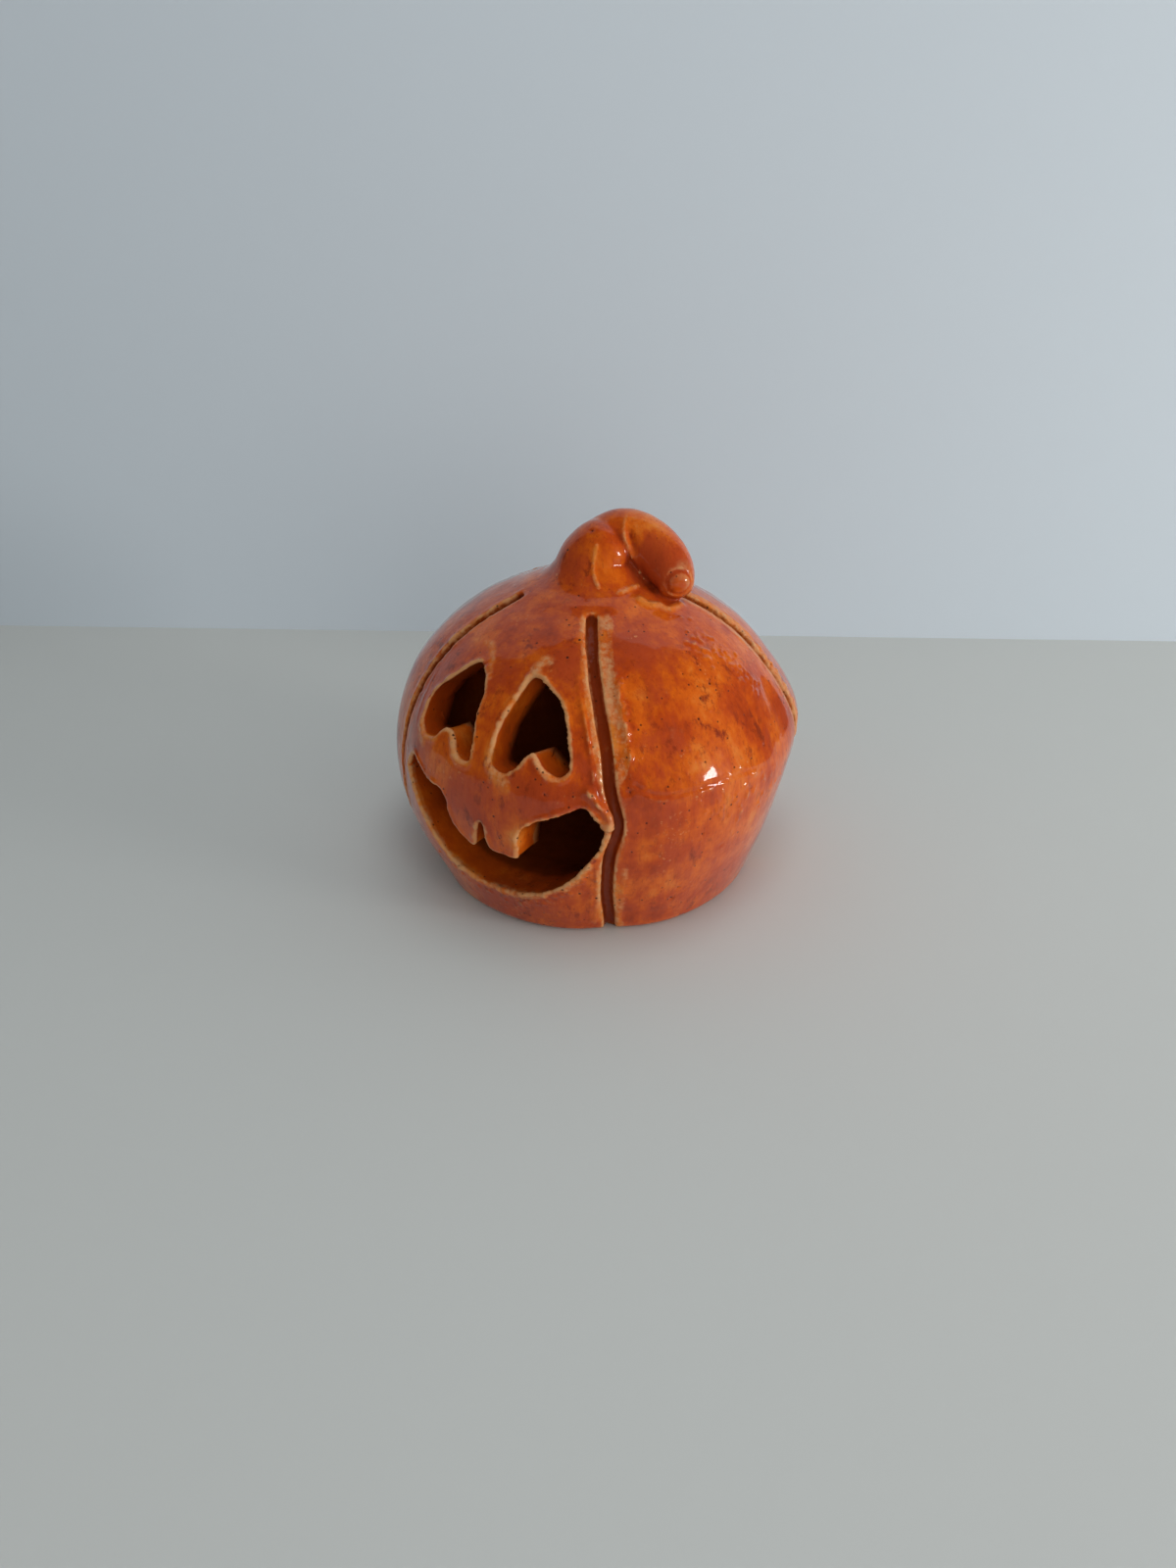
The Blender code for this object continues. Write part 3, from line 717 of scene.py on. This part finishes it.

    # red marks redder, thicker glaze; in the fold under the stem's roll it is also painted shade
    red, thin = np.zeros(len(points)), np.zeros(len(points))
    patches = [(onWall([a], [z])[0], size, amount) for a, z, size, amount in blushes]
    patches += [(np.array(place) * mm, size, amount) for *place, size, amount in stemBlushes]
    for place, size, amount in patches:
        gap = np.linalg.norm(points - place, axis=1) / mm
        spot = abs(amount) * bump(gap + 0.25 * size * middle, 0.0, size)
        red, thin = (np.maximum(red, spot), thin) if amount > 0.0 else (red, np.maximum(thin, spot))
    clear = inPatch(amber, angle, height, middle + 0.5 * small) * outside
    milky = inPatch(milk, angle, height, middle + 0.5 * small) * outside

    lift *= smoothStep(0.1 * mm, 2.0 * mm, height)  # the underside stays flat
    moved = keptInside(points + normals * (lift * mm)[:, None])
    moved[:, 2] = np.where(points[:, 2] < 0.12 * mm, 0.02 * mm, moved[:, 2])
    setPoints(obj, moved)
    return dict(depth=depth, bare=bare, hole=hole, inGroove=inGroove, red=red, thin=thin, clear=clear, milky=milky)


def keepOnMesh(obj, name, values):
    attribute = obj.data.attributes.new(name, "FLOAT", "POINT")
    attribute.data.foreach_set("value", values.astype(np.float32))


def flowOf(points):
    # a place for streaks that run down the wall: across it, and the way down it
    radius = np.hypot(points[:, 0], points[:, 1])
    down = np.degrees(np.arctan2(radius, points[:, 2] - bodyShape["bellyHeight"] * 0.5)) / 90.0
    return np.stack([points[:, 0], points[:, 1], down * bodyShape["bellyRadius"]], axis=1) / bodyShape["bellyRadius"]


marks = markClay(pumpkin)
edges = getEdges(pumpkin)
keepOnMesh(pumpkin, "sharp", outwardBend(pumpkin, 2))
keepOnMesh(pumpkin, "bend", outwardBend(pumpkin, 12))
for name, values in marks.items():
    keepOnMesh(pumpkin, name, values)
flow = pumpkin.data.attributes.new("flow", "FLOAT_VECTOR", "POINT")
flow.data.foreach_set("vector", flowOf(getPoints(pumpkin)).astype(np.float32).ravel())
faces = sum(len(p.vertices) - 2 for p in pumpkin.data.polygons)
print("triangles before thinning", faces)
# flat parts, the hollow and the underside give up most of their faces
hidden = (marks["depth"] > 5.0) | (getPoints(pumpkin)[:, 2] < 0.3 * mm)
group = pumpkin.vertex_groups.new(name="hidden")
group.add([int(i) for i in np.flatnonzero(hidden)], 1.0, "REPLACE")
group.add([int(i) for i in np.flatnonzero(~hidden)], 0.35, "REPLACE")
useModifier(pumpkin, "DECIMATE", ratio=clayMesh["most"] / faces, vertex_group="hidden", use_collapse_triangulate=True)
pumpkin.vertex_groups.clear()
setPoints(pumpkin, keptInside(getPoints(pumpkin)))
print("triangles", sum(len(p.vertices) - 2 for p in pumpkin.data.polygons))

# ---- place it in the frame ----
deselectAll()
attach(pumpkin, "root")
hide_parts("pumpkin_lantern")

# ---- material ----
class Wire:
    # one socket of a material, which adds and multiplies like a number
    def __init__(self, paint, socket):
        self.paint, self.socket = paint, socket

    def sum(self, operation, *values):
        return self.paint.node("ShaderNodeMath", dict(operation=operation), dict(enumerate(values)))

    def __add__(self, other):
        return self.sum("ADD", self, other)

    def __radd__(self, other):
        return self.sum("ADD", other, self)

    def __sub__(self, other):
        return self.sum("SUBTRACT", self, other)

    def __rsub__(self, other):
        return self.sum("SUBTRACT", other, self)

    def __mul__(self, other):
        return self.sum("MULTIPLY", self, other)

    def __rmul__(self, other):
        return self.sum("MULTIPLY", other, self)

    def __truediv__(self, other):
        return self.sum("DIVIDE", self, other)

    def __pow__(self, other):
        return self.sum("POWER", self, other)


class Paint:
    # a material's nodes
    def __init__(self, name):
        self.material = bpy.data.materials.new(name)
        self.material.use_nodes = True
        self.tree = self.material.node_tree
        self.shader = self.tree.nodes["Principled BSDF"]

    def fill(self, node, inputs):
        for key, value in inputs.items():
            if isinstance(value, Wire):
                self.tree.links.new(value.socket, node.inputs[key])
            else:
                node.inputs[key].default_value = value

    def node(self, kind, settings, inputs, output=0):
        node = self.tree.nodes.new(kind)
        for setting, value in settings.items():
            if setting == "stops":
                while len(node.color_ramp.elements) < len(value):
                    node.color_ramp.elements.new(0.5)
                for element, (place, colour) in zip(node.color_ramp.elements, value):
                    element.position, element.color = place, (*colour, 1.0)
            else:
                setattr(node, setting, value)
        self.fill(node, inputs)
        return Wire(self, node.outputs[output])

    def mark(self, name, output="Fac"):
        return self.node("ShaderNodeAttribute", dict(attribute_name=name), {}, output)

    def noise(self, where, scale, detail=2.0, roughness=0.5):
        inputs = {"Vector": where, "Scale": scale, "Detail": detail, "Roughness": roughness}
        return self.node("ShaderNodeTexNoise", {}, inputs, "Fac")

    def ease(self, value, low, high):
        inputs = {"Value": value, "From Min": low, "From Max": high}
        return self.node("ShaderNodeMapRange", dict(interpolation_type="SMOOTHSTEP"), inputs)

    def cells(self, where, scale):
        # how far it is to the middle of the nearest cell, and a number of that cell's own
        gap = self.node("ShaderNodeTexVoronoi", dict(feature="F1"), {"Vector": where, "Scale": scale}, "Distance")
        colour = Wire(self, gap.socket.node.outputs["Color"])
        return gap, self.node("ShaderNodeSeparateColor", {}, {"Color": colour}, "Red")

    def most(self, first, second):
        return self.node("ShaderNodeMath", dict(operation="MAXIMUM"), {0: first, 1: second})

    def blend(self, share, first, second):
        inputs = {0: share, 6: self.colour(first), 7: self.colour(second)}
        return self.node("ShaderNodeMix", dict(data_type="RGBA"), inputs, 2)

    def colour(self, value):
        return value if isinstance(value, Wire) else (*value, 1.0)

    def stretch(self, where, scale):
        inputs = {"Vector": where, "Scale": scale}
        return self.node("ShaderNodeMapping", dict(vector_type="POINT"), inputs)


glazeLook = dict(
    # from bare clay through thin and full glaze to where it has run together
    clay=(0.64, 0.31, 0.13), thin=(0.66, 0.19, 0.025), full=(0.60, 0.105, 0.004), deep=(0.45, 0.054, 0.003),
    thick=(0.26, 0.026, 0.003), pooled=(0.10, 0.010, 0.002),
    milky=(0.40, 0.050, 0.011),  # red haze where the glaze lay too thick to clear
    smudge=(0.22, 0.026, 0.005), speck=(0.030, 0.010, 0.005), fleck=(0.66, 0.30, 0.10),
    # within is painted shade for the inside of the hollow; cut is partly painted shade on the cut walls of eyes and
    # mouth
    rim=(0.60, 0.30, 0.125), channel=(0.20, 0.026, 0.003), cut=(0.46, 0.075, 0.005), within=(0.17, 0.030, 0.003), coat=0.93,
)


def paintGlaze():
    g = glazeLook
    paint = Paint("orangeGlaze")
    here = paint.node("ShaderNodeTexCoord", {}, {}, "Object")
    flow = paint.mark("flow", "Vector")
    bare, depth, sharp, bend = paint.mark("bare"), paint.mark("depth"), paint.mark("sharp"), paint.mark("bend")
    inGroove, hole, red, thin = paint.mark("inGroove"), paint.mark("hole"), paint.mark("red"), paint.mark("thin")
    clear, milky = paint.mark("clear"), paint.mark("milky")
    broad = paint.noise(here, 62.0, 2.0, 0.5) - 0.5
    patchy = paint.noise(here, 130.0, 3.0, 0.6) - 0.5
    middle = paint.noise(here, 260.0, 4.0, 0.65) - 0.5
    fine = paint.noise(here, 1000.0, 3.0, 0.6) - 0.5
    brushed = paint.noise(paint.stretch(flow, (1.0, 1.0, 0.16)), 34.0, 4.0, 0.6) - 0.5
    wipes = paint.noise(paint.stretch(flow, (1.0, 1.0, 0.35)), 11.0, 3.0, 0.6) - 0.5
    inside = paint.ease(depth, 6.0, 7.4)
    outer = 1.0 - inside
    worn = paint.ease(bare + middle * 0.6 + fine * 0.35, 0.22, 0.88)
    # the cut walls of eyes and mouth: partly their own darker glaze, partly painted shade inside the openings
    shadedCutWall = paint.ease(depth, 0.7, 1.6) * outer * (1.0 - inGroove)
    edges = paint.ease(sharp + patchy * 1.3 + fine * 0.5, 0.25, 1.05) * outer

    # how thick the glaze lies: 0 bare clay, 0.4 the usual coat, 1 run together in a hollow
    thickness = 0.55 + broad * 0.62 + wipes * 0.34 + patchy * 0.42 + brushed * 0.30 + middle * 0.36 + fine * 0.16
    thickness = thickness - edges * 0.16 - paint.ease(bend, 0.03, 0.16) * 0.06
    thickness = thickness + paint.ease(bend * -1.0, 0.04, 0.30) * 0.26
    # thin also lightens the side of the tooth as painted light
    thickness = thickness - worn * 0.12 + red * 0.16 - thin * 0.26 - clear * 0.04
    stops = (
        (0.0, g["clay"]), (0.20, g["thin"]), (0.42, g["full"]), (0.62, g["deep"]), (0.84, g["thick"]), (1.0, g["pooled"]))
    colour = paint.node("ShaderNodeValToRGB", dict(stops=stops), {"Fac": thickness})
    clouded = paint.noise(here, 80.0, 4.0, 0.6) + brushed * 0.35 + fine * 0.12 + red * 0.35 - thin * 0.3
    clouded = clouded - clear * 0.30 + milky * 0.20
    haze = paint.ease(clouded, 0.48, 0.76) * (1.0 - worn * 0.6) * outer
    colour = paint.blend(haze * 0.78, colour, g["milky"])
    # a web of darker lines where the glaze has flowed, stretched down the wall
    web = paint.noise(paint.stretch(flow, (1.0, 1.0, 0.30)), 70.0, 4.0, 0.7) + fine * 0.10
    colour = paint.blend(paint.ease(web, 0.54, 0.70) * 0.45 * outer, colour, g["thick"])
    # small dark smears and pale flecks, in some places more than in others
    dirt = paint.ease(paint.noise(here, 75.0, 2.0, 0.5) + clear * 0.10 + red * 0.08, 0.50, 0.66)
    smears = paint.noise(paint.stretch(here, (1.0, 1.0, 0.55)), 430.0, 5.0, 0.72) + dirt * 0.05
    colour = paint.blend(paint.ease(smears, 0.56, 0.70) * (0.42 + dirt * 0.52) * outer, colour, g["smudge"])
    chalky = paint.ease(paint.noise(here, 105.0, 2.0, 0.5) + milky * 0.06 + worn * 0.10, 0.54, 0.70)
    flecks = paint.noise(here, 1300.0, 3.0, 0.55) + chalky * 0.03
    colour = paint.blend(paint.ease(flecks, 0.60, 0.74) * chalky * 0.45 * outer, colour, g["fleck"])
    # worn strips are pale in some spots and rusty in others, and so are edges; the pale streak down the stem is a
    # painted highlight
    pale = worn * paint.ease(patchy * 0.5 + middle * 0.5 + fine * 0.6, -0.16, 0.20)
    colour = paint.blend(pale * (0.60 + paint.ease(bare, 0.85, 1.2) * 0.33), colour, g["clay"])
    colour = paint.blend(edges * 0.78, colour, g["rim"])
    colour = paint.blend(inGroove * 0.80 * (1.0 - pale), colour, g["channel"])
    # painted shade on the cut walls, mixed with their own darker glaze
    colour = paint.blend(shadedCutWall * (0.45 + middle * 1.2 + brushed * 0.6 - thin * 0.5), colour, g["cut"])

    # pinholes: a few everywhere, crowded where the glaze is thin
    gap, chance = paint.cells(here, 430.0)
    pin = paint.ease(gap * -1.0, -0.15, -0.07) * paint.ease(chance + worn * 0.10 + dirt * 0.06, 0.93, 0.97)
    gap, chance = paint.cells(here, 900.0)
    prick = paint.ease(gap * -1.0, -0.26, -0.12) * paint.ease(chance + worn * 0.12 + dirt * 0.07, 0.91, 0.95)
    pin = paint.most(paint.most(pin, prick * 0.85), paint.ease(hole, 0.35, 0.7)) * outer
    colour = paint.blend(pin * 0.9, colour, g["speck"])
    # painted shade: the inside of the hollow is darkened nearly to black
    colour = paint.blend(inside * 0.80, colour, g["within"])

    # orange peel, brush lines, grains and pinholes, all under a tenth of a millimetre or so
    gap, chance = paint.cells(here, 760.0)
    pips = paint.ease(gap * -1.0, -0.45, -0.05) * paint.ease(chance + chalky * 0.25 + worn * 0.2, 0.94, 1.0)
    relief = brushed * 0.11 + patchy * 0.12 + middle * 0.09 + fine * (0.042 + worn * 0.14) + pips * 0.09 - pin * 0.14
    raised = paint.node("ShaderNodeBump", {}, {"Height": relief, "Strength": 0.7, "Distance": 1.0 * mm})
    paint.fill(paint.shader, {
        "Base Color": colour,
        "Roughness": 0.36 + worn * 0.22 + middle * 0.20,
        "Coat Weight": g["coat"] - worn * 0.30 - pin * 0.5 - inGroove * 0.45,
        "Coat Roughness": 0.07, "Coat IOR": 1.38, "Specular IOR Level": 0.10,
        "Normal": raised,
    })
    return paint.material


pumpkin.data.materials.clear()
pumpkin.data.materials.append(paintGlaze())

# ---- floor, light and camera ----
room = dict(
    turn=33.0,  # the way the room faces, round from the pumpkin's own front
    floorColour=(0.60, 0.61, 0.585), wallColour=(0.60, 0.66, 0.71), wallBehind=120 * mm, wallTurn=2.0,
    # right, towards the wall and up from the pumpkin; then size and power
    window=dict(place=(0.73, -0.30, 0.10), size=(0.17, 0.13), power=2.1, colour=(1.0, 0.98, 0.96), glossy=True),
    fill=dict(place=(0.20, -0.55, 0.16), size=(0.4, 0.4), power=0.80, colour=(1.0, 0.97, 0.94), glossy=False),
    bounce=dict(place=(0.62, -0.10, 0.24), size=(0.5, 0.4), power=0.80, colour=(1.0, 0.98, 0.95), glossy=False),
    ceiling=dict(place=(0.08, -0.03, 0.66), size=(0.6, 0.24), power=1.05, colour=(0.96, 0.98, 1.0), glossy=False),
    skyColour=(0.84, 0.88, 0.90), skyStrength=0.40,
)
roomTurn = math.radians(room["turn"])


def inRoom(right, away, up):
    return Vector((
        math.cos(roomTurn) * right - math.sin(roomTurn) * away,
        math.sin(roomTurn) * right + math.cos(roomTurn) * away, up))


def clearFromBehind(paint):
    behind = paint.node("ShaderNodeNewGeometry", {}, {}, "Backfacing")
    seen, clear = Wire(paint, paint.shader.outputs[0]), paint.node("ShaderNodeBsdfTransparent", {}, {})
    paint.fill(paint.tree.nodes["Material Output"], {
        "Surface": paint.node("ShaderNodeMixShader", {}, {0: behind, 1: seen, 2: clear})})


def addSheet(name, place, tilt, turn, size, colour, glossy):
    deselectAll()
    bpy.ops.mesh.primitive_plane_add(size=size, location=place, rotation=(tilt, 0.0, turn))
    sheet = bpy.context.object
    sheet.name = name
    sheet.visible_glossy = glossy
    paint = Paint(name)
    paint.fill(paint.shader, {"Base Color": (*colour, 1.0), "Roughness": 0.9, "Specular IOR Level": 0.2})
    clearFromBehind(paint)
    sheet.data.materials.append(paint.material)


def addLight(name, light):
    place = inRoom(*light["place"])
    deselectAll()
    bpy.ops.object.light_add(type="AREA", location=place)
    lamp = bpy.context.object
    lamp.name = name
    lamp.data.shape = "RECTANGLE"
    lamp.data.size, lamp.data.size_y = light["size"]
    lamp.data.energy, lamp.data.color = light["power"], light["colour"]
    lamp.rotation_euler = (Vector((0.0, 0.0, 0.03)) - place).to_track_quat("-Z", "Y").to_euler()
    lamp.visible_glossy = light["glossy"]


print("room")
# a sheet of paper lies under the pumpkin and stands behind it, on a table and before a wall of the same colour
wallTurn = roomTurn - math.radians(room["wallTurn"])
sheets = (
    ("floor", 0.0, roomTurn, room["floorColour"], (-40 * mm, -70 * mm, 0.0), (0.0, 0.0, -0.3 * mm)),
    ("wall", math.pi / 2, wallTurn, room["wallColour"],
     (-40 * mm, room["wallBehind"], 0.25), (0.0, room["wallBehind"] + 0.4 * mm, 1.5)),
)
for name, tilt, turn, colour, near, far in sheets:
    addSheet(name, inRoom(*near), tilt, turn, 0.5, colour, True)
    addSheet(name + "Beyond", inRoom(*far), tilt, turn, 3.0, colour, False)
for name in ("window", "fill", "bounce", "ceiling"):
    addLight(name, room[name])
world = bpy.data.worlds.new("room")
bpy.context.scene.world = world
world.use_nodes = True
sky = world.node_tree.nodes["Background"]
sky.inputs["Color"].default_value = (*room["skyColour"], 1.0)
sky.inputs["Strength"].default_value = room["skyStrength"]
world.cycles_visibility.glossy = False
bpy.context.scene.view_settings.view_transform = "Standard"

deselectAll()
bpy.ops.object.camera_add(location=(0.1213, -0.1894, 0.1438), rotation=(math.radians(60.0), 0.0, roomTurn))
camera = bpy.context.object
camera.data.lens = 27.045
camera.data.sensor_width = 36.0
bpy.context.scene.camera = camera
